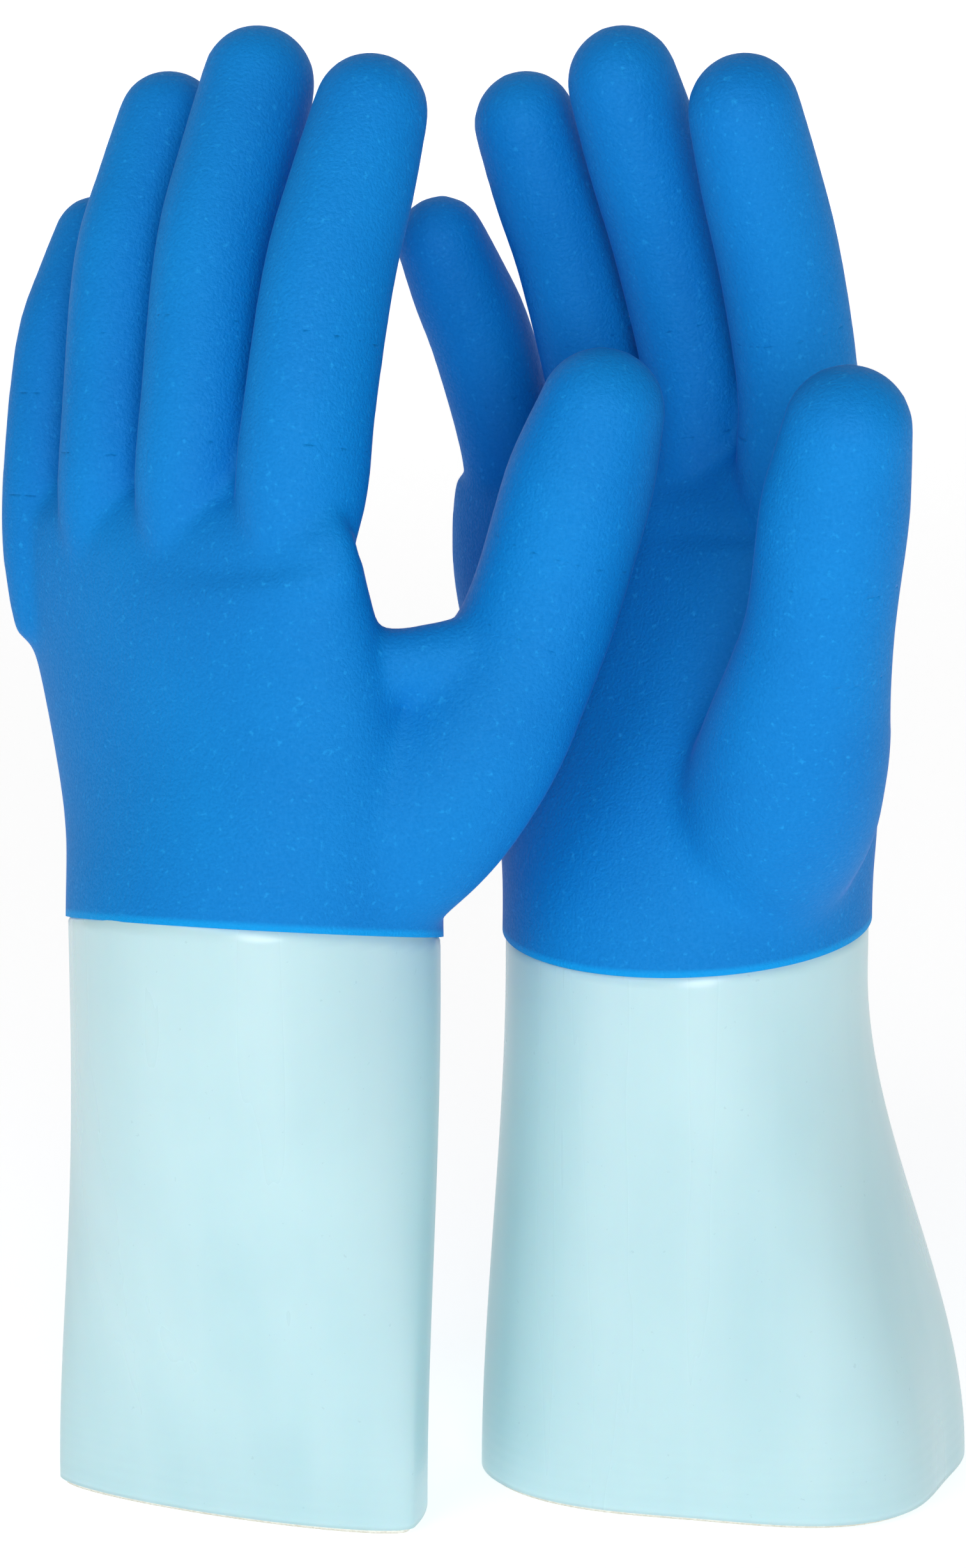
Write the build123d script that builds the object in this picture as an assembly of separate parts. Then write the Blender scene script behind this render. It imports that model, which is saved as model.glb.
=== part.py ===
# Pair of lined, dipped rubber gauntlets, standing on their cuffs with the fingers up.
# Units are mm. +Z is up, and each rim rests on z = 0.
# One glove is drawn in its own axes: u runs across the hand towards the thumb side,
# v runs from the back of the hand towards the palm, and w is up.
# The left glove is that drawing turned about Z. The right glove is its mirror image.
import math
import os

from build123d import *

os.makedirs("parts", exist_ok=True)

# Walls of the rubber and of the knitted liner, and the fits between them
shell_wall = 1.4
liner_wall = 1.5
layer_gap = 0.2
hood_wall = 1.2
ball_wall = 1.2
slide_gap = 0.3

# Knuckle joint: how far a finger bends back and closes from its moulded pose, in degrees
bend_back = 10.0
bend_close = 50.0
rim_limit = 116.0
mitre_limit = 120.0
ball_mouth = 55.5
seat_depth = 2.4

# Heights of the rubber's rim, of the narrow wrist and of the dip line
shell_rim = 1.2
wrist_height = 121.0
hand_bottom = 132.0
seam_gap = 0.2
overrun = 6.0

# Round wrist, and the ovals of the hand: height, centre u, centre v, long half, short half, turn
wrist_centre = (11.5, 13.0)
wrist_radius = 41.0
palm_low = (155.0, 10.5, 12.0, 45.5, 36.0, 0.0)
palm_mid = (185.0, 3.5, 8.5, 51.5, 27.0, 0.0)
palm_high = (212.0, -2.0, 5.5, 54.0, 21.5, 0.0)
palm_top = (231.0, -3.5, 5.0, 53.0, 18.0, 0.0)
palm_slope = 0.2
oval_points = 16
cuff_points = 48
fold_width = 24.0

# Ball of the thumb, a tapered stump that carries the thumb's root joint
thumb_heel = (34.0, 18.0, 160.0)
heel_radius = 22.0
thumb_stump_lean = (0.36, 0.29, 0.885)
stump_length = 20.0
blend_extra = 0.5
thumb_clear = 22.0
finger_stump_lean = (0.0, 0.09, 0.996)
finger_stump = 34.0

# Height above which the coat of the hand is parted into the roots of the fingers
root_split = 212.0

# Fingers: root joint, middle joint, centre of the tip, radius, radius of the tip
fingers = {
    "index": ((36.0, 9.0, 253.0), (35.0, 15.5, 279.0), (33.5, 29.0, 312.5), 13.5, 12.9),
    "middle": ((8.7, 3.5, 251.5), (5.0, 11.0, 282.0), (1.0, 26.0, 317.7), 13.5, 12.9),
    "ring": ((-18.2, 2.5, 246.0), (-22.2, 9.5, 277.0), (-26.0, 23.5, 308.0), 12.9, 12.2),
    "little": ((-43.3, 4.0, 234.0), (-46.7, 10.5, 258.0), (-50.0, 22.0, 281.0), 11.7, 11.0),
    "thumb": ((66.0, 49.0, 210.0), (71.0, 53.0, 232.5), (75.5, 56.0, 250.5), 15.2, 14.4),
}
finger_axis = (-1.0, 0.0, 0.0)
thumb_axis = (0.0, -1.0, 0.0)

# Where each glove stands: offset of its own axes, turn about Z
left_place = (-69.813, -6.078, -46.0)
right_place = (42.087, 33.922, -35.0)

# Cuff mouth of each glove: centre u, centre v, long half, short half on the palm side and
# on the back, turn, and a soft fold: how far it stands out and where, in degrees
left_mouth = (9.6, 6.6, 44.0, 42.0, 9.0, 25.0, 0.0, 0.0)
right_mouth = (17.9, 4.4, 57.0, 37.0, 33.0, -43.0, 0.3, 71.0)

far = 400.0


def oval(height, centre_u, centre_v, long_half, short_half, turn, inset=0.0, slope=0.0):
    # Closed oval face, drawn through points at even angles so that lofts do not twist
    a = long_half - inset
    b = short_half - inset
    points = []
    for step in range(oval_points):
        angle = 2 * math.pi * step / oval_points
        own = angle - math.radians(turn)
        reach = a * b / math.hypot(b * math.cos(own), a * math.sin(own))
        u = reach * math.cos(angle)
        v = reach * math.sin(angle)
        points.append(Vector(centre_u + u, centre_v + v, height + slope * u))
    return Face(Wire([Spline(*points, periodic=True)]))


def cuff_oval(height, row, inset):
    # Closed face across the cuff: flatter on one side than on the other, with a soft fold
    centre_u, centre_v, long_half, palm_half, back_half, turn, fold, fold_at = row
    spin = math.radians(turn)
    points = []
    for step in range(cuff_points):
        angle = 2 * math.pi * step / cuff_points
        short_half = palm_half if math.sin(angle) > 0 else back_half
        away = (math.degrees(angle) - fold_at + 180) % 360 - 180
        swell = 1 + fold * math.exp(-((away / fold_width) ** 2))
        along = (long_half - inset) * math.cos(angle) * swell
        across = (short_half - inset) * math.sin(angle) * swell
        u = centre_u + along * math.cos(spin) - across * math.sin(spin)
        v = centre_v + along * math.sin(spin) + across * math.cos(spin)
        points.append(Vector(u, v, height))
    return Face(Wire([Spline(*points, periodic=True)]))


def cuff_solid(mouth, inset, low, high):
    # Tapered sleeve from the mouth to the wrist, filled, between two heights
    turn, fold, fold_at = mouth[5:]
    wrist = (*wrist_centre, wrist_radius, wrist_radius, wrist_radius, turn, 0.0, fold_at)
    rows = []
    for share in (-0.08, 0.0, 0.15, 0.3, 0.5, 0.7, 0.85, 1.0, 1.12):
        held = min(max(share, 0.0), 1.0)
        ease = held * held * (3 - 2 * held)
        row = [a + (b - a) * ease for a, b in zip(mouth, wrist)]
        rows.append(cuff_oval(share * wrist_height, row, inset))
    body = loft(rows)
    slab = Pos(0, 0, (low + high) / 2) * Box(far, far, high - low)
    return body & slab


def joint_frame(point, lean, axis):
    # Unit vectors of a joint: along the parent, towards the palm, and the hinge axis
    along = Vector(*lean).normalized()
    palmar = Vector(*axis).cross(along).normalized()
    return Vector(*point), along, palmar


def upper_half(point, normal):
    # Half space above a plane, as a large box
    return Plane(origin=point, z_dir=normal) * Pos(0, 0, far / 2) * Box(far, far, far)


def rim_cut(point, along, palmar, radius):
    # Part of space that a hood keeps: its rim is low at the back and high at the palm side
    palm_rim = rim_limit - bend_close
    back_rim = rim_limit - bend_back
    tilt = math.radians((back_rim - palm_rim) / 2)
    normal = along * math.cos(tilt) - palmar * math.sin(tilt)
    lift = radius * math.cos(math.radians((back_rim + palm_rim) / 2))
    return upper_half(point + normal * lift, normal)


def mitre_cut(point, along, palmar):
    # Part of space that a parent leaves free on the palm side for the bent finger
    tilt = math.radians(mitre_limit - 90)
    normal = along * math.cos(tilt) + palmar * math.sin(tilt)
    return upper_half(point, normal)


def place(start, along):
    return Plane(origin=start, z_dir=along).location


def barrel(start, end, radius, end_radius, inset, round_end):
    # Tapered finger barrel between two points, with a round end if it is the last one
    reach = Vector(*end) - Vector(*start)
    length = reach.length
    body = Pos(0, 0, length / 2) * Cone(radius - inset, end_radius - inset, length)
    if round_end:
        body = body + Pos(0, 0, length) * Sphere(end_radius - inset)
    return place(Vector(*start), reach.normalized()) * body


def ball_seat(point, along, radius):
    # Hollow ball with an open mouth, and the ring that ties it to its barrel
    ball_radius = radius - hood_wall - slide_gap
    seat_height = -math.sqrt((radius + slide_gap) ** 2 - (radius - shell_wall) ** 2)
    mouth_height = ball_radius * math.cos(math.radians(ball_mouth))
    bore = ball_radius * math.sin(math.radians(ball_mouth)) - ball_wall
    ball = Sphere(ball_radius) - Sphere(ball_radius - ball_wall)
    tall = mouth_height - seat_height
    ball = ball & (Pos(0, 0, seat_height + tall / 2) * Cylinder(far, tall))
    ring = Cylinder(radius - shell_wall / 2, seat_depth) - Cylinder(bore, seat_depth)
    return place(point, along) * (ball + Pos(0, 0, seat_height - seat_depth / 2) * ring)


def end_cut(point, along, palmar, radius):
    # Everything a barrel gives up at its far joint
    cap = place(point, along) * Sphere(radius + slide_gap)
    return [cap, mitre_cut(point, along, palmar)]


def liner_end(point, along, palmar, radius):
    # The liner stops below the ring of the ball
    seat_height = math.sqrt((radius + slide_gap) ** 2 - (radius - shell_wall) ** 2)
    low = point - along * (seat_height + seat_depth + slide_gap)
    return [upper_half(low, along), mitre_cut(point, along, palmar)]


def minus(body, cutters):
    for cutter in cutters:
        body = body - cutter
    return body


def finger_parts(name):
    root, mid, tip, radius, tip_radius = fingers[name]
    is_thumb = name == "thumb"
    axis = thumb_axis if is_thumb else finger_axis
    lean = thumb_stump_lean if is_thumb else finger_stump_lean
    mid_radius = (radius + tip_radius) / 2
    root_joint = joint_frame(root, lean, axis)
    base_along = (Vector(*mid) - Vector(*root)).normalized()
    mid_joint = joint_frame(mid, tuple(base_along), axis)
    parts = {}

    hood = Pos(*root) * Sphere(radius)
    inner = Pos(*root) * Sphere(radius - hood_wall)
    outside = barrel(root, mid, radius, mid_radius, 0.0, False) + hood
    inside = barrel(root, mid, radius, mid_radius, shell_wall, False)
    coat = (outside - inside - inner) & rim_cut(*root_joint, radius)
    coat = minus(coat, end_cut(*mid_joint, mid_radius))
    parts["base_coat"] = coat + ball_seat(mid_joint[0], base_along, mid_radius)
    skin = shell_wall + layer_gap
    knit = barrel(root, mid, radius, mid_radius, skin, False)
    knit = knit - barrel(root, mid, radius, mid_radius, skin + liner_wall, False) - inner
    knit = knit & rim_cut(*root_joint, radius)
    parts["base_liner"] = minus(knit, liner_end(*mid_joint, mid_radius))

    hood = Pos(*mid) * Sphere(mid_radius)
    inner = Pos(*mid) * Sphere(mid_radius - hood_wall)
    outside = barrel(mid, tip, mid_radius, tip_radius, 0.0, True) + hood
    inside = barrel(mid, tip, mid_radius, tip_radius, shell_wall, True)
    parts["tip_coat"] = (outside - inside - inner) & rim_cut(*mid_joint, mid_radius)
    knit = barrel(mid, tip, mid_radius, tip_radius, skin, True)
    knit = knit - barrel(mid, tip, mid_radius, tip_radius, skin + liner_wall, True) - inner
    parts["tip_liner"] = knit & rim_cut(*mid_joint, mid_radius)
    return parts


def hand_solid(inset):
    # Filled hand from the dip line to the finger stumps, all walls moved in by the inset
    rows = [
        oval(hand_bottom - overrun, *wrist_centre, wrist_radius, wrist_radius, 0.0, inset),
        oval(hand_bottom, *wrist_centre, wrist_radius, wrist_radius, 0.0, inset),
        oval(*palm_low, inset),
        oval(*palm_mid, inset),
        oval(*palm_high, inset),
        oval(palm_top[0] - inset, *palm_top[1:], inset, palm_slope),
    ]
    body = loft(rows)
    root = Vector(*fingers["thumb"][0])
    along = Vector(*thumb_stump_lean).normalized()
    foot = root - along * stump_length
    radius = fingers["thumb"][3] - inset
    reach = foot - Vector(*thumb_heel)
    heel = Pos(0, 0, reach.length / 2) * Cone(heel_radius - inset, radius, reach.length)
    body = body + place(Vector(*thumb_heel), reach.normalized()) * heel
    body = body + Pos(*foot) * Sphere(radius + blend_extra)
    body = body + Pos(*thumb_heel) * Sphere(heel_radius + blend_extra - inset)
    body = body + place(foot, along) * Pos(0, 0, stump_length / 2) * Cylinder(radius, stump_length)
    for name, (point, mid, tip, wide, narrow) in fingers.items():
        if name != "thumb":
            along = Vector(*finger_stump_lean).normalized()
            foot = Vector(*point) - along * finger_stump
            stump = Pos(0, 0, finger_stump / 2) * Cylinder(wide - inset, finger_stump)
            body = body + place(foot, along) * stump
    return body


def part_coat(coat):
    # The seamless coat in simpler pieces that meet face to face: palm, and a root for each finger
    along = Vector(*thumb_stump_lean).normalized()
    foot = Vector(*fingers["thumb"][0]) - along * stump_length
    round_thumb = place(foot, along) * Pos(0, 0, stump_length) * Cylinder(thumb_clear, 2 * stump_length)
    split = Vector(0, 0, root_split)
    palm = coat - round_thumb
    top = palm & upper_half(split, Vector(0, 0, 1))
    parts = {"hand_coat": palm & upper_half(split, Vector(0, 0, -1)), "thumb_root_coat": coat & round_thumb}
    row = [name for name in fingers if name != "thumb"]
    centres = [fingers[name][0][0] for name in row]
    edges = [far] + [(a + b) / 2 for a, b in zip(centres, centres[1:])] + [-far]
    for name, outer, inner in zip(row, edges, edges[1:]):
        slab = Pos((outer + inner) / 2, 0, root_split) * Box(outer - inner, far, far)
        parts[f"{name}_root_coat"] = top & slab
    return parts


def hand_parts():
    skin = shell_wall + layer_gap
    above = upper_half(Vector(0, 0, hand_bottom), Vector(0, 0, 1))
    coat = (hand_solid(0.0) - hand_solid(shell_wall)) & above
    knit = (hand_solid(skin) - hand_solid(skin + liner_wall)) & above
    for name, (point, mid, tip, radius, narrow) in fingers.items():
        is_thumb = name == "thumb"
        lean = thumb_stump_lean if is_thumb else finger_stump_lean
        joint = joint_frame(point, lean, thumb_axis if is_thumb else finger_axis)
        reach = Pos(*point) * Sphere(2 * radius)
        for cutter in end_cut(*joint, radius):
            coat = coat - (cutter & reach)
        for cutter in liner_end(*joint, radius):
            knit = knit - (cutter & reach)
        coat = coat + ball_seat(joint[0], joint[1], radius)
    return {"hand_liner": knit} | part_coat(coat)


def sleeve(mouth, low, high, inset, wall):
    return cuff_solid(mouth, inset, low, high) - cuff_solid(mouth, inset + wall, low, high)


def glove(mouth):
    skin = shell_wall + layer_gap
    top = hand_bottom - seam_gap
    parts = {
        "cuff_shell": sleeve(mouth, shell_rim, top, 0.0, shell_wall),
        "cuff_liner": sleeve(mouth, 0.0, top, skin, liner_wall),
    }
    parts.update(hand_parts())
    for name in fingers:
        for key, solid in finger_parts(name).items():
            parts[f"{name}_{key}"] = solid
    return parts


def export_glove(side, mouth, place_at, mirrored):
    offset_x, offset_y, turn = place_at
    for key, solid in glove(mouth).items():
        if mirrored:
            solid = mirror(solid, about=Plane.XZ)
        solid = Pos(offset_x, offset_y, 0) * Rot(0, 0, turn) * solid
        export_step(solid, f"parts/{side}_{key}.step")


export_glove("left", left_mouth, left_place, False)
export_glove("right", right_mouth, right_place, True)
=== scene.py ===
import bpy, bmesh, math
from mathutils import Matrix, Vector, kdtree


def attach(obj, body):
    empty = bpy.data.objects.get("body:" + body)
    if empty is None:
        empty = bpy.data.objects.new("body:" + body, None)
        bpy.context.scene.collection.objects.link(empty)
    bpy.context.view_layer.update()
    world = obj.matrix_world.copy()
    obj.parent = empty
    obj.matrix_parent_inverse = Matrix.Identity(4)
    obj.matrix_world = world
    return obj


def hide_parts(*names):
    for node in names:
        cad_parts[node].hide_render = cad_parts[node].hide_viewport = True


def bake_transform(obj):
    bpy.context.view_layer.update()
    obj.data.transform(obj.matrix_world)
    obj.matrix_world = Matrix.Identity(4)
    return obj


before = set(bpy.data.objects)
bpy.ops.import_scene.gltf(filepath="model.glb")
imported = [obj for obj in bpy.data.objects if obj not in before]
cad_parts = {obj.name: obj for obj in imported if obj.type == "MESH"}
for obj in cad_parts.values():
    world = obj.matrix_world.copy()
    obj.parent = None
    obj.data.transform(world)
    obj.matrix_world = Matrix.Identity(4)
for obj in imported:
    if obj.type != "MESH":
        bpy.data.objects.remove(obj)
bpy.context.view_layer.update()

# where each glove stands, and how it is turned about Z; shapes are mm in the glove's own axes:
# u across towards the thumb, v towards the palm, w up
gloves = {
    "left": {"offset": (-69.813, -6.078), "turn": -46.0, "flip": False},
    "right": {"offset": (42.087, 33.922), "turn": -35.0, "flip": True},
}

# root joint, knuckle and centre of the tip; half width across and half depth at root and tip
fingers = {
    "index": {"line": ((36, 9, 253), (35, 15.5, 279), (33.5, 29, 312.5)), "root": (12.6, 15.0), "tip": (11.8, 12.6)},
    "middle": {"line": ((8.7, 3.5, 251.5), (5, 11, 282), (1, 26, 317.7)), "root": (12.6, 15.0), "tip": (11.8, 12.6)},
    "ring": {"line": ((-18.2, 2.5, 246), (-22.2, 9.5, 277), (-26, 23.5, 308)), "root": (12.1, 14.4), "tip": (11.2, 12.0)},
    "little": {"line": ((-43.3, 4, 234), (-46.7, 10.5, 258), (-50, 22, 281)), "root": (11.0, 13.0), "tip": (10.0, 10.6)},
    "thumb": {"line": ((66, 49, 210), (71, 53, 232.5), (75.5, 56, 250.5)), "root": (15.6, 16.2), "tip": (13.4, 13.6)},
}
# mm from the root joint to the lower seam; how near a face is to a finger's line to be cut, and to belong to it
seams = {
    "finger": {"before": -9.0, "cutShare": 1.06, "ownShare": 1.5},
    "thumb": {"before": -7.0, "cutShare": 1.35, "ownShare": 1.4},
    "slab": 0.004, "reach": 0.026,
}


def easy(t):
    t = max(0.0, min(1.0, t))
    return t * t * (3 - 2 * t)


def seamOf(name):
    return seams["thumb" if name == "thumb" else "finger"]


def toRow(side):
    g = gloves[side]
    move = Matrix.Translation((g["offset"][0] / 1000, g["offset"][1] / 1000, 0))
    turn = Matrix.Rotation(math.radians(g["turn"]), 4, "Z")
    flip = Matrix.Diagonal((1, -1 if g["flip"] else 1, 1, 1))
    return move @ turn @ flip @ Matrix.Scale(0.001, 4)


def runThrough(points, count):
    # a smooth run of stations through a few given ones, each a tuple of numbers
    rows = []
    last = len(points) - 1
    for step in range(count + 1):
        t = step / count * last
        i = min(int(t), last - 1)
        f = t - i
        a, b, c, d = (points[max(0, min(last, k))] for k in (i - 1, i, i + 1, i + 2))
        rows.append(tuple(
            0.5 * (2 * q + (r - p) * f + (2 * p - 5 * q + 4 * r - s) * f * f + (3 * q - p - 3 * r + s) * f ** 3)
            for p, q, r, s in zip(a, b, c, d)))
    return rows


def addRing(bm, centre, along, across, halves, sides):
    n = along.normalized()
    a = (across - n * across.dot(n)).normalized()
    b = n.cross(a)
    place = Matrix.Identity(4)
    for row in range(3):
        place[row][0] = a[row] * halves[0]
        place[row][1] = b[row] * halves[1]
        place[row][2] = n[row]
        place[row][3] = centre[row]
    ring = bmesh.ops.create_circle(bm, cap_ends=False, segments=sides, radius=1.0, matrix=place)["verts"]
    return list({e for v in ring for e in v.link_edges})


def addLimb(bm, stations, across=(1, 0, 0), sides=28, dome=True):
    # closed tube through stations (u, v, w, half across, half depth), with a round far end
    rows = list(stations)
    if dome:
        last = rows[-1]
        ahead = (Vector(last[:3]) - Vector(rows[-2][:3])).normalized()
        for angle in (14, 28, 42, 54, 66, 76, 84):
            t = math.radians(angle)
            spot = Vector(last[:3]) + ahead * (last[3] + last[4]) / 2 * math.sin(t)
            rows.append((*spot, last[3] * math.cos(t), last[4] * math.cos(t)))
    loops = []
    for i, s in enumerate(rows):
        a = Vector(rows[max(0, i - 1)][:3])
        b = Vector(rows[min(len(rows) - 1, i + 1)][:3])
        loops.append(addRing(bm, Vector(s[:3]), b - a, Vector(across), s[3:], sides))
    for low, high in zip(loops, loops[1:]):
        bmesh.ops.bridge_loops(bm, edges=low + high)
    bmesh.ops.contextual_create(bm, geom=loops[0])
    bmesh.ops.contextual_create(bm, geom=loops[-1])


palm = {
    # centre u, v, w, half across, half depth, from the wrist up to the finger roots
    "rows": [
        (11.5, 13, 106, 41.9, 41.9), (11.5, 13, 120, 41.9, 41.9), (11.5, 13, 132, 41.9, 41.9),
        (11.3, 12.8, 142, 42.4, 41), (10, 11.8, 158, 46, 36), (5.5, 9.8, 178, 50, 28.5),
        (1, 7.5, 198, 52.5, 23.5), (-2.2, 5.5, 214, 55, 19.5), (-2, 5, 224, 54, 16.5), (-2, 5, 231, 50, 12),
    ],
    # between the finger roots: u, v, w, half height, half depth
    "crotches": [
        ((36, 9, 229.5, 9, 11), (22, 6, 229.5, 9, 10), (8.7, 3.5, 229.5, 9, 11)),
        ((8.7, 3.5, 226.5, 9, 11), (-5, 3, 226.5, 9, 10), (-18.2, 2.5, 226.5, 9, 11)),
        ((-18.2, 2.5, 211, 9, 11), (-31, 3, 211, 9, 10), (-43.3, 4, 211, 9, 10)),
    ],
    "thenar": [
        (31, 19, 146, 20, 20), (45, 30, 163, 22, 21), (55, 39.5, 181, 20.5, 19.5), (61.5, 45.5, 196, 17.5, 17),
    ],
    "web": [(38, 13, 196, 10, 9), (50, 22, 197, 8, 7), (60, 36, 199, 9, 8)],
    "voxel": 1.3, "draftVoxel": 1.8, "smooth": 10, "draftSmooth": 6,
    # the heel of the hand is calmed between these heights, each with its run-out
    "calmLow": 122, "calmIn": 14, "calmHigh": 205, "calmOut": 24, "calmSmooth": 70, "draftCalm": 40,
}


def fingerStations(name):
    f = fingers[name]
    root, mid, tip = (Vector(p) for p in f["line"])
    a, b = f["root"], f["tip"]
    if name == "thumb":
        foot = [tuple(palm["thenar"][k]) for k in (1, 2, 3)]
    else:
        low = root - Vector((root.x * 0.0015, 0.1, 1)) * 40
        foot = [(*low, a[0] * 0.8, a[1] * 0.7), (*(root * 0.5 + low * 0.5), a[0], a[1])]
    knuckle = (a[0] * 0.98 + b[0] * 0.02, a[1] * 0.95 + b[1] * 0.05)
    pad = ((a[0] + 2 * b[0]) / 3 + 0.4, (a[1] + 2 * b[1]) / 3 + 0.6)
    return foot + [(*root, *a), (*mid, *knuckle), (*(mid * 0.45 + tip * 0.55), *pad), (*tip, *b)]


def handSkin(side):
    # all limbs in one mesh, joined and softened
    bm = bmesh.new()
    addLimb(bm, runThrough(palm["rows"], 40), sides=64, dome=False)
    for run in palm["crotches"]:
        addLimb(bm, runThrough(run, 6), across=(0, 0, 1), dome=False)
    addLimb(bm, runThrough(palm["web"], 8), across=(0, 0, 1), dome=False)
    for name in fingers:
        across = (0.85, -0.5, 0) if name == "thumb" else (1, 0, 0)
        addLimb(bm, runThrough(fingerStations(name), 22), across=across, sides=32)
    addLimb(bm, runThrough(palm["thenar"], 10), across=(1, 0, 0), dome=True)
    bmesh.ops.recalc_face_normals(bm, faces=bm.faces)
    bmesh.ops.transform(bm, matrix=toRow(side), verts=bm.verts)
    bmesh.ops.recalc_face_normals(bm, faces=bm.faces)
    mesh = bpy.data.meshes.new(side + "_hand_whole")
    bm.to_mesh(mesh)
    bm.free()
    whole = bpy.data.objects.new(side + "_hand_whole", mesh)
    bpy.context.scene.collection.objects.link(whole)
    join = whole.modifiers.new("join", "REMESH")
    join.mode = "VOXEL"
    join.voxel_size = palm["voxel"] / 1000
    soften = whole.modifiers.new("soften", "SMOOTH")
    soften.factor = 0.5
    soften.iterations = palm["smooth"]
    bpy.context.view_layer.update()
    whole.data = bpy.data.meshes.new_from_object(whole.evaluated_get(bpy.context.evaluated_depsgraph_get()))
    whole.modifiers.clear()
    heel = whole.vertex_groups.new(name="heel")  # the heel of the hand runs into the thumb without a crease
    back = toRow(side).inverted()
    for v in whole.data.vertices:
        own = back @ v.co
        share = easy((palm["calmHigh"] - own.z) / palm["calmOut"]) * easy((own.z - palm["calmLow"]) / palm["calmIn"])
        if share > 0.01:
            heel.add([v.index], share, "REPLACE")
    calm = whole.modifiers.new("calm", "SMOOTH")
    calm.factor = 0.5
    calm.vertex_group = "heel"
    calm.iterations = palm["calmSmooth"]
    bpy.context.view_layer.update()
    final = bpy.data.meshes.new_from_object(whole.evaluated_get(bpy.context.evaluated_depsgraph_get()))
    bpy.data.objects.remove(whole)
    return final


def fingerFrame(side, name):
    # joints and seam points of one finger, in metres in the row's frame
    place = toRow(side)
    root, mid, tip = (place @ Vector(p) for p in fingers[name]["line"])
    along = (mid - root).normalized()
    ahead = (tip - mid).normalized()
    if name == "thumb":
        down = (root - place @ Vector(palm["thenar"][2][:3])).normalized()
    else:
        down = (place @ Vector((0, 0.09, 1)) - place @ Vector((0, 0, 0))).normalized()
    return {
        "root": root, "mid": mid, "along": along, "ahead": ahead, "down": down,
        "low": root + down * seamOf(name)["before"] / 1000, "lowNormal": (down + along).normalized(),
        "cut": root + along * (mid - root).length * 0.5,
    }


def shareOf(side, name, spot):
    # how far a point is from a finger's line, as a share of the finger's own size
    f = fingers[name]
    place = toRow(side)
    own = place.inverted() @ spot
    line = [Vector(p) for p in f["line"]]
    if name == "thumb":
        line = [Vector(palm["thenar"][2][:3])] + line
    else:
        line = [line[0] - Vector((0, 0.1, 1)) * 20] + line
    line.append(line[-1] + (line[-1] - line[-2]).normalized() * 12)
    best = 1e9
    for a, b in zip(line, line[1:]):
        t = max(0.0, min(1.0, (own - a).dot(b - a) / (b - a).length_squared))
        gap = own - (a + (b - a) * t)
        if name == "thumb":
            best = min(best, gap.length / f["root"][0])
        else:
            best = min(best, math.hypot(gap.x / f["root"][0], math.hypot(gap.y, gap.z) / f["root"][1]))
    return best


def splitHand(side, mesh):
    # cut the skin at each finger's seams, so that each piece crosses one joint
    bm = bmesh.new()
    bm.from_mesh(mesh)
    frames = {name: fingerFrame(side, name) for name in fingers}
    for name, f in frames.items():
        for spot, normal in ((f["low"], f["lowNormal"]), (f["cut"], f["along"])):
            near = [
                face for face in bm.faces
                if abs((face.calc_center_median() - spot).dot(normal)) < seams["slab"]
                and (face.calc_center_median() - spot).length < seams["reach"]
                and shareOf(side, name, face.calc_center_median()) < seamOf(name)["cutShare"]
            ]
            edges = list({e for face in near for e in face.edges})
            geom = near + edges + list({v for face in near for v in face.verts})
            bmesh.ops.bisect_plane(bm, geom=geom, dist=0.00002, plane_co=spot, plane_no=normal)
    dipAt, dipNormal = dipPlane(side)
    geom = bm.verts[:] + bm.edges[:] + bm.faces[:]
    bmesh.ops.bisect_plane(bm, geom=geom, dist=0.00001, plane_co=dipAt, plane_no=dipNormal, clear_inner=True)
    bm.faces.ensure_lookup_table()
    owner = bm.faces.layers.int.new("owner")
    keys = [(None, None)]
    for name in fingers:
        keys += [(name, "base"), (name, "tip")]
    for face in bm.faces:
        spot = face.calc_center_median()
        face[owner] = 0
        name = min(fingers, key=lambda n: shareOf(side, n, spot))
        f = frames[name]
        if shareOf(side, name, spot) < seamOf(name)["ownShare"] and (spot - f["low"]).dot(f["lowNormal"]) > 0:
            part = "tip" if (spot - f["cut"]).dot(f["along"]) > 0 else "base"
            face[owner] = keys.index((name, part))
    pieces = {}
    for index, key in enumerate(keys):
        part = bm.copy()
        layer = part.faces.layers.int["owner"]
        bmesh.ops.delete(part, geom=[face for face in part.faces if face[layer] != index], context="FACES")
        pieces[key] = part
    bm.free()
    return pieces, frames


# the dip line: height at the wrist's middle, and its slope towards the thumb and the palm
dip = {"left": (134.6, 0.125, -0.2), "right": (130.6, 0.006, -0.077), "cover": 5.0}


def dipPlane(side):
    place = toRow(side)
    height, acrossSlope, palmSlope = dip[side]
    spot = place @ Vector((*cuff["wrist"][:2], height))
    normal = (place.to_3x3() @ Vector((-acrossSlope, -palmSlope, 1))).normalized()
    return spot, normal


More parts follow.
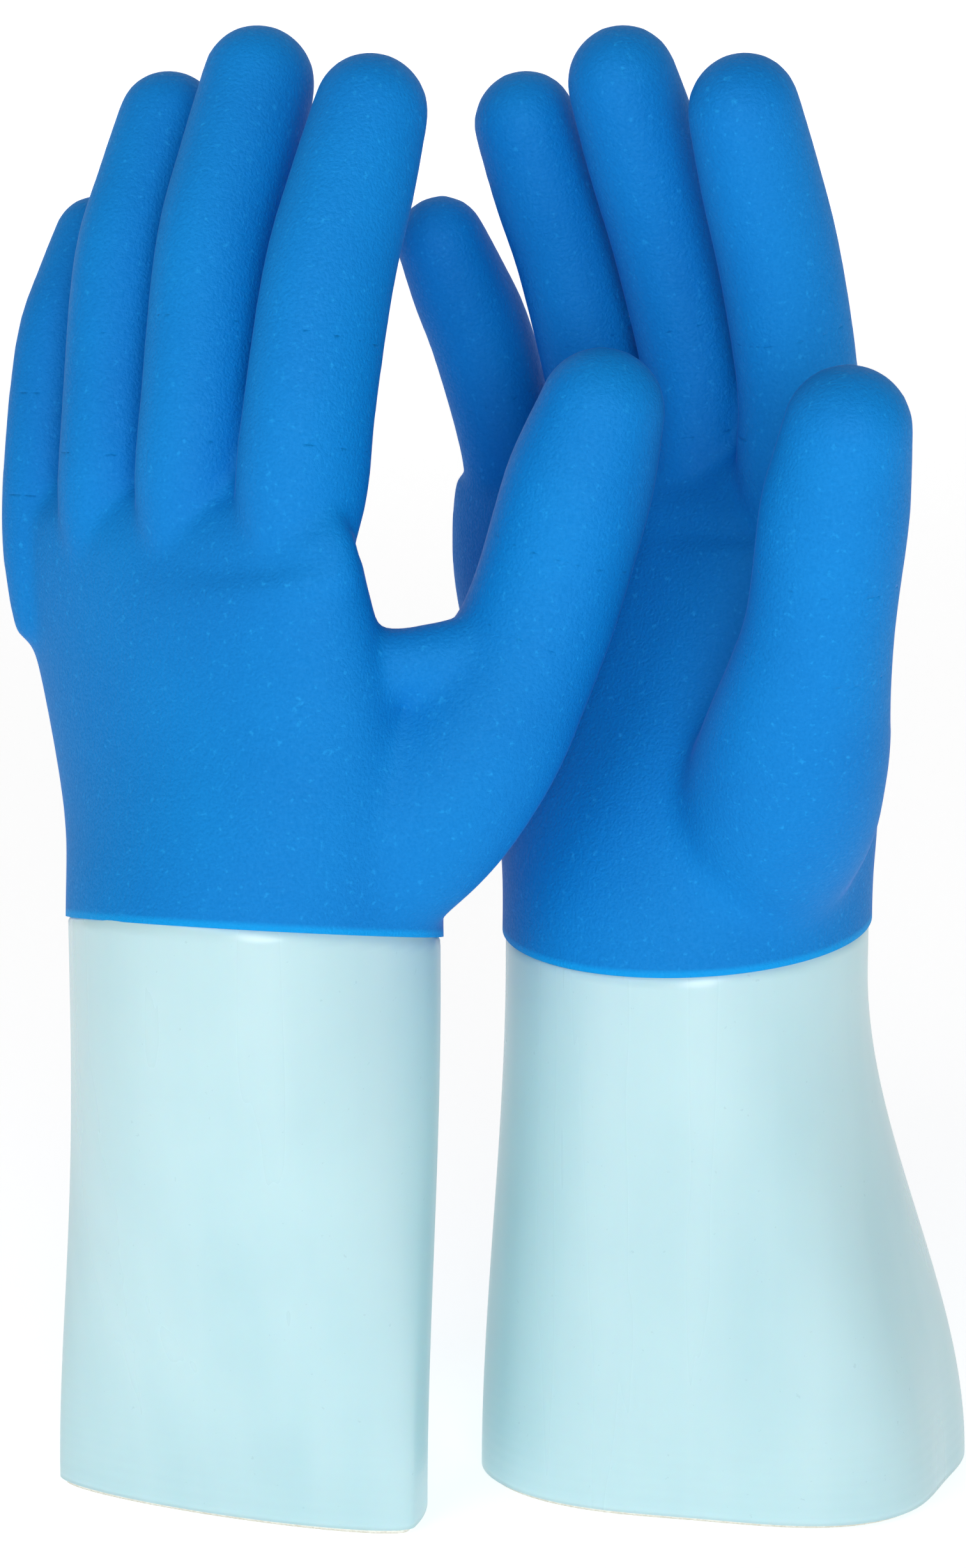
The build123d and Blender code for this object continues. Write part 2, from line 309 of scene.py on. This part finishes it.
def finishPiece(side, name, bm, normals, wall, materials, sink=0.0):
    # sinks the skin along the whole hand's normals, gives it a wall, and keeps those normals at its seams
    tree, values = normals or (None, None)
    if sink:
        for v in bm.verts:
            found, index, distance = tree.find(v.co)
            v.co -= Vector(values[index]) * sink
    bmesh.ops.solidify(bm, geom=bm.faces[:], thickness=wall)
    mesh = bpy.data.meshes.new(name)
    bm.to_mesh(mesh)
    bm.free()
    for m in materials:
        mesh.materials.append(m)
    mesh.polygons.foreach_set("use_smooth", [True] * len(mesh.polygons))
    if normals and not sink:
        own = []
        for v in mesh.vertices:
            found, index, distance = tree.find(v.co)
            own.append(values[index] if distance < 0.0005 and v.normal.dot(values[index]) > 0.3 else (0, 0, 0))
        mesh.normals_split_custom_set_from_vertices(own)
    spot, normal = dipPlane(side)
    edge = mesh.attributes.new("dipEdge", "FLOAT", "POINT")
    edge.data.foreach_set("value", [(v.co - spot).dot(normal) * 1000 for v in mesh.vertices])
    obj = bpy.data.objects.new(name, mesh)
    bpy.context.scene.collection.objects.link(obj)
    return obj


cuff = {
    # mouth: centre u, v, half along, half across on the palm side and on the back, turn,
    # a soft fold: how far it stands out and where, in degrees; the wrist is round
    "left": (9.6, 6.6, 44.0, 42.0, 9.0, 25.0, 0.0, 0.0),
    "right": (17.9, 4.4, 57.0, 37.0, 33.0, -43.0, 0.3, 71.0),
    "wrist": (11.5, 13.0, 41.0, 41.0, 41.0),
    "wristHeight": 121.0, "foldWidth": 24.0, "rim": 1.2, "top": 160.0, "wall": 1.3, "rings": 90, "sides": 160,
    "tuck": 0.0013, "tuckSlope": 0.0004,  # metres inwards where the sleeve passes under the dip
}


def cuffRing(bm, side, height, inset):
    share = easy(height / cuff["wristHeight"])
    turn, fold, foldAt = cuff[side][5:]
    centreU, centreV, longHalf, palmHalf, backHalf = (
        a + (b - a) * share for a, b in zip(cuff[side], cuff["wrist"]))
    fold *= 1 - share
    centre = Vector((centreU, centreV, height))
    across = Vector((math.cos(math.radians(turn)), math.sin(math.radians(turn)), 0))
    edges = addRing(bm, centre, Vector((0, 0, 1)), across, (longHalf - inset, 1.0), cuff["sides"])
    upright = Vector((-across.y, across.x, 0))
    for v in {v for e in edges for v in e.verts}:
        x, y = (v.co - centre).dot(across) / (longHalf - inset), (v.co - centre).dot(upright)
        angle = math.degrees(math.atan2(y, x))
        away = (angle - foldAt + 180) % 360 - 180
        swell = 1 + fold * math.exp(-((away / cuff["foldWidth"]) ** 2))
        short = (palmHalf if y > 0 else backHalf) - inset
        v.co = centre + (across * x * (longHalf - inset) + upright * y * short) * swell
    return edges


def sleeve(side, low, high, inset, rings):
    # open sleeve between two heights, in mm in the glove's own axes
    bm = bmesh.new()
    loops = [cuffRing(bm, side, low + (high - low) * step / rings, inset) for step in range(rings + 1)]
    for lower, upper in zip(loops, loops[1:]):
        bmesh.ops.bridge_loops(bm, edges=lower + upper)
    bmesh.ops.transform(bm, matrix=toRow(side), verts=bm.verts)
    bmesh.ops.recalc_face_normals(bm, faces=bm.faces)
    spot, normal = dipPlane(side)
    axis = toRow(side) @ Vector((*cuff["wrist"][:2], 0))
    for v in bm.verts:  # the sleeve slips under the blue dip
        above = (v.co - spot).dot(normal) * 1000
        inward = Vector((axis.x - v.co.x, axis.y - v.co.y, 0)).normalized()
        v.co += inward * (easy((above + 1.0) / 2.0) * cuff["tuck"] + max(0.0, above) * cuff["tuckSlope"])
    geom = bm.verts[:] + bm.edges[:] + bm.faces[:]
    bmesh.ops.bisect_plane(bm, geom=geom, dist=0.00001, plane_co=spot + normal * dip["cover"] / 1000,
                           plane_no=normal, clear_outer=True)
    return bm


grain = {"fine": 1500.0, "speck": 700.0, "broad": 22.0, "streakAcross": 55.0, "streakAlong": 2.0}


def grainGroup():
    # masks for all three materials: fine grain, rare specks, broad clouds, vertical streaks
    group = bpy.data.node_groups.new("grainMasks", "ShaderNodeTree")
    size = group.interface.new_socket(name="fineScale", in_out="INPUT", socket_type="NodeSocketFloat")
    size.default_value = grain["fine"]
    for label in ("fine", "speck", "broad", "streak"):
        group.interface.new_socket(name=label, in_out="OUTPUT", socket_type="NodeSocketFloat")
    nodes, links = group.nodes, group.links
    given = nodes.new("NodeGroupInput")
    place = nodes.new("ShaderNodeTexCoord")
    out = nodes.new("NodeGroupOutput")
    stretch = nodes.new("ShaderNodeMapping")
    stretch.inputs["Scale"].default_value = (grain["streakAcross"], grain["streakAcross"], grain["streakAlong"])
    links.new(place.outputs["Object"], stretch.inputs["Vector"])
    for label, scale, low, high in (("fine", grain["fine"], 0.3, 0.7), ("speck", grain["speck"], 0.62, 0.74),
                                    ("broad", grain["broad"], 0.3, 0.7), ("streak", 1.0, 0.35, 0.7)):
        noise = nodes.new("ShaderNodeTexNoise")
        noise.inputs["Scale"].default_value = scale
        noise.inputs["Detail"].default_value = 3.0
        if label == "fine":
            links.new(given.outputs["fineScale"], noise.inputs["Scale"])
        links.new(stretch.outputs["Vector"] if label == "streak" else place.outputs["Object"], noise.inputs["Vector"])
        span = nodes.new("ShaderNodeMapRange")
        span.inputs["From Min"].default_value = low
        span.inputs["From Max"].default_value = high
        links.new(noise.outputs["Fac"], span.inputs["Value"])
        links.new(span.outputs["Result"], out.inputs[label])
    return group


masks = grainGroup()


def newMaterial(name):
    m = bpy.data.materials.new(name)
    m.use_nodes = True
    nodes = m.node_tree.nodes
    return m, nodes, m.node_tree.links, nodes["Principled BSDF"]


def addMasks(nodes, fineScale):
    node = nodes.new("ShaderNodeGroup")
    node.node_tree = masks
    node.inputs["fineScale"].default_value = fineScale
    return node.outputs


def mixed(nodes, links, factor, first, second):
    # a colour between two, each a constant or another node's output
    mix = nodes.new("ShaderNodeMix")
    mix.data_type = "RGBA"
    links.new(factor, mix.inputs["Factor"])
    for value, socket in ((first, mix.inputs[6]), (second, mix.inputs[7])):
        if isinstance(value, tuple):
            socket.default_value = value
        else:
            links.new(value, socket)
    return mix.outputs[2]


def spanned(nodes, links, value, fromLow, fromHigh, toLow, toHigh):
    span = nodes.new("ShaderNodeMapRange")
    for label, number in (("From Min", fromLow), ("From Max", fromHigh), ("To Min", toLow), ("To Max", toHigh)):
        span.inputs[label].default_value = number
    links.new(value, span.inputs["Value"])
    return span.outputs["Result"]


def bumped(nodes, links, shader, height, strength, distance):
    bump = nodes.new("ShaderNodeBump")
    bump.inputs["Strength"].default_value = strength
    bump.inputs["Distance"].default_value = distance
    links.new(height, bump.inputs["Height"])
    links.new(bump.outputs["Normal"], shader.inputs["Normal"])


def blueDip():
    # matte blue rubber with a sandy grip: lighter grains, a painted highlight along the dip line standing in for
    # light on its rounded lip, and a painted violet sheen (a painted reflection) where the surface turns away
    m, nodes, links, shader = newMaterial("blueDip")
    mask = addMasks(nodes, 1500.0)
    edge = nodes.new("ShaderNodeAttribute")
    edge.attribute_name = "dipEdge"
    # painted highlight: a lighter band just above the dip line, where light would catch the dip's rounded lip
    lipHighlight = spanned(nodes, links, edge.outputs["Fac"], 0.9, 1.9, 1.0, 0.0)
    # painted sheen: the colour turns a lighter violet where the surface turns away, a painted reflection of the
    # bright surroundings
    sheenFacing = nodes.new("ShaderNodeLayerWeight")
    sheenFacing.inputs["Blend"].default_value = 0.35
    colour = mixed(nodes, links, mask["broad"], (0.0, 0.2, 0.6, 1), (0.0, 0.235, 0.66, 1))
    for value, span, tint in (
            (mask["speck"], (0.0, 1.0, 0.0, 0.7), (0.01, 0.33, 0.78, 1)),
            (mask["fine"], (0.0, 1.0, 0.0, 0.25), (0.0, 0.13, 0.45, 1)),
            (sheenFacing.outputs["Facing"], (0.72, 1.0, 0.0, 0.45), (0.14, 0.24, 0.74, 1))):
        colour = mixed(nodes, links, spanned(nodes, links, value, *span), colour, tint)
    # the painted lip highlight is mixed over the blue here
    colour = mixed(nodes, links, lipHighlight, colour, (0.0, 0.31, 0.77, 1))
    links.new(colour, shader.inputs["Base Color"])
    links.new(spanned(nodes, links, mask["fine"], 0.0, 1.0, 0.55, 0.75), shader.inputs["Roughness"])
    shader.inputs["Specular IOR Level"].default_value = 0.16
    bumped(nodes, links, shader, mask["fine"], 0.5, 0.00025)
    return m


def paleRubber():
    # smooth glossy rubber: faint vertical streaks, tiny specks, greyer in broad clouds, ribbed near the rim
    m, nodes, links, shader = newMaterial("paleRubber")
    mask = addMasks(nodes, 900.0)
    place = nodes.new("ShaderNodeTexCoord")
    split = nodes.new("ShaderNodeSeparateXYZ")
    links.new(place.outputs["Object"], split.inputs["Vector"])
    wave = nodes.new("ShaderNodeTexWave")
    wave.bands_direction = "Z"
    wave.inputs["Scale"].default_value = 110.0
    wave.inputs["Distortion"].default_value = 1.0
    near = spanned(nodes, links, split.outputs["Z"], 0.0, 0.04, 0.35, 0.0)
    links.new(place.outputs["Object"], wave.inputs["Vector"])
    ribs = nodes.new("ShaderNodeMath")
    ribs.operation = "MULTIPLY"
    links.new(wave.outputs["Fac"], ribs.inputs[0])
    links.new(near, ribs.inputs[1])
    colour = mixed(nodes, links, mask["broad"], (0.445, 0.675, 0.725, 1), (0.495, 0.725, 0.765, 1))
    for value, span, tint in (
            (mask["streak"], (0.0, 1.0, 0.0, 0.35), (0.58, 0.775, 0.81, 1)),
            (mask["speck"], (0.85, 1.0, 0.0, 0.3), (0.30, 0.50, 0.55, 1))):
        colour = mixed(nodes, links, spanned(nodes, links, value, *span), colour, tint)
    links.new(colour, shader.inputs["Base Color"])
    links.new(spanned(nodes, links, mask["streak"], 0.0, 1.0, 0.36, 0.24), shader.inputs["Roughness"])
    shader.inputs["Specular IOR Level"].default_value = 0.5
    shader.inputs["Subsurface Weight"].default_value = 0.15
    shader.inputs["Subsurface Scale"].default_value = 0.004
    bumped(nodes, links, shader, ribs.outputs["Value"], 0.25, 0.0005)
    return m


def knit():
    # cream knitted cotton: fine courses with fuzz
    m, nodes, links, shader = newMaterial("knitLiner")
    mask = addMasks(nodes, 2200.0)
    place = nodes.new("ShaderNodeTexCoord")
    wave = nodes.new("ShaderNodeTexWave")
    wave.bands_direction = "Z"
    wave.inputs["Scale"].default_value = 260.0
    wave.inputs["Distortion"].default_value = 3.0
    wave.inputs["Detail Scale"].default_value = 4.0
    links.new(place.outputs["Object"], wave.inputs["Vector"])
    colour = mixed(nodes, links, wave.outputs["Fac"], (0.66, 0.62, 0.52, 1), (0.88, 0.85, 0.77, 1))
    fuzz = spanned(nodes, links, mask["fine"], 0.0, 1.0, 0.0, 0.3)
    colour = mixed(nodes, links, fuzz, colour, (0.95, 0.93, 0.88, 1))
    links.new(colour, shader.inputs["Base Color"])
    shader.inputs["Roughness"].default_value = 0.9
    shader.inputs["Sheen Weight"].default_value = 0.3
    bumped(nodes, links, shader, wave.outputs["Fac"], 0.6, 0.0004)
    return m


blue, pale, cream = blueDip(), paleRubber(), knit()

walls = {"skin": 0.0011, "knit": 0.0012, "sink": 0.0013}  # metres

for side in gloves:
    whole = handSkin(side)
    tree = kdtree.KDTree(len(whole.vertices))
    values = []
    for v in whole.vertices:
        tree.insert(v.co, v.index)
        values.append(tuple(v.normal))
    tree.balance()
    pieces, frames = splitHand(side, whole)
    print("stage:", side, "skin", len(whole.polygons), "faces")
    body = f"{side}_gauntlet"
    for (name, part), bm in pieces.items():
        label = f"{side}_{name}_{part}" if name else f"{side}_hand"
        inner = bm.copy()
        coats = [f"{label}_coat"] + ([] if name else [f"{side}_{finger}_root_coat" for finger in fingers])
        skin = finishPiece(side, f"{label}_skin", bm, (tree, values), walls["skin"], [blue])
        lining = finishPiece(side, f"{label}_knit", inner, (tree, values), walls["knit"], [cream], sink=walls["sink"])
        skins = ((skin, "blue_coat", coats), (lining, "knit_liner", [f"{label}_liner"]))
        for obj, slot, nodes in skins:
            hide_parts(*nodes)
            if name is None:
                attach(obj, body)
                continue
            if part == "base":
                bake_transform(obj)
            else:
                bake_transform(obj)
    shell = sleeve(side, cuff["rim"], cuff["top"], 0.0, cuff["rings"])
    obj = finishPiece(side, f"{side}_cuff_skin", shell, None, cuff["wall"] / 1000, [pale])
    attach(obj, body)
    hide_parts(f"{side}_cuff_shell")

for name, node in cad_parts.items():
    if name.endswith("liner"):
        node.data.materials.clear()
        node.data.materials.append(cream)

floorMesh = bpy.data.meshes.new("floor")
bm = bmesh.new()
bmesh.ops.create_grid(bm, x_segments=1, y_segments=1, size=4.0)
farEdge = [e for e in bm.edges if all(v.co.y > 3.9 for v in e.verts)]
wall = bmesh.ops.extrude_edge_only(bm, edges=farEdge)["geom"]
bmesh.ops.translate(bm, verts=[g for g in wall if isinstance(g, bmesh.types.BMVert)], vec=(0, 0, 5))
bm.to_mesh(floorMesh)
bm.free()
floor = bpy.data.objects.new("floor", floorMesh)
bpy.context.scene.collection.objects.link(floor)
paper, nodes, links, shader = newMaterial("paper")
shader.inputs["Base Color"].default_value = (0.9, 0.9, 0.9, 1)
shader.inputs["Roughness"].default_value = 1.0
shader.inputs["Specular IOR Level"].default_value = 0.0
shader.inputs["Emission Color"].default_value = (1, 1, 1, 1)
shader.inputs["Emission Strength"].default_value = 0.52
floorMesh.materials.append(paper)

world = bpy.data.worlds.new("studio")
bpy.context.scene.world = world
world.use_nodes = True
world.node_tree.nodes["Background"].inputs["Color"].default_value = (1, 1, 1, 1)
world.node_tree.nodes["Background"].inputs["Strength"].default_value = 0.34


def softLight(name, spot, aim, size, power):
    data = bpy.data.lights.new(name, "AREA")
    data.shape = "DISK"
    data.size = size
    data.energy = power
    lamp = bpy.data.objects.new(name, data)
    lamp.location = spot
    lamp.rotation_euler = (Vector(aim) - Vector(spot)).to_track_quat("-Z", "Y").to_euler()
    bpy.context.scene.collection.objects.link(lamp)


softLight("keyLight", (-0.7, -1.0, 1.0), (0, 0, 0.16), 0.7, 3)
softLight("fillLight", (0.15, -1.5, 0.4), (0, 0, 0.2), 0.7, 9)

view = {"elevation": 12.0, "distance": 0.9, "aim": (-0.0021, 0.0119, 0.163), "lens": 92.46}
tilt = math.radians(view["elevation"])
aim = Vector(view["aim"])
cameraData = bpy.data.cameras.new("camera")
cameraData.lens = view["lens"]
cameraData.sensor_width = 36
camera = bpy.data.objects.new("camera", cameraData)
camera.location = aim + Vector((0, -math.cos(tilt), math.sin(tilt))) * view["distance"]
camera.rotation_euler = (aim - camera.location).to_track_quat("-Z", "Y").to_euler()
bpy.context.scene.collection.objects.link(camera)
bpy.context.scene.camera = camera
bpy.context.scene.view_settings.view_transform = "Standard"

print("stage: finished")
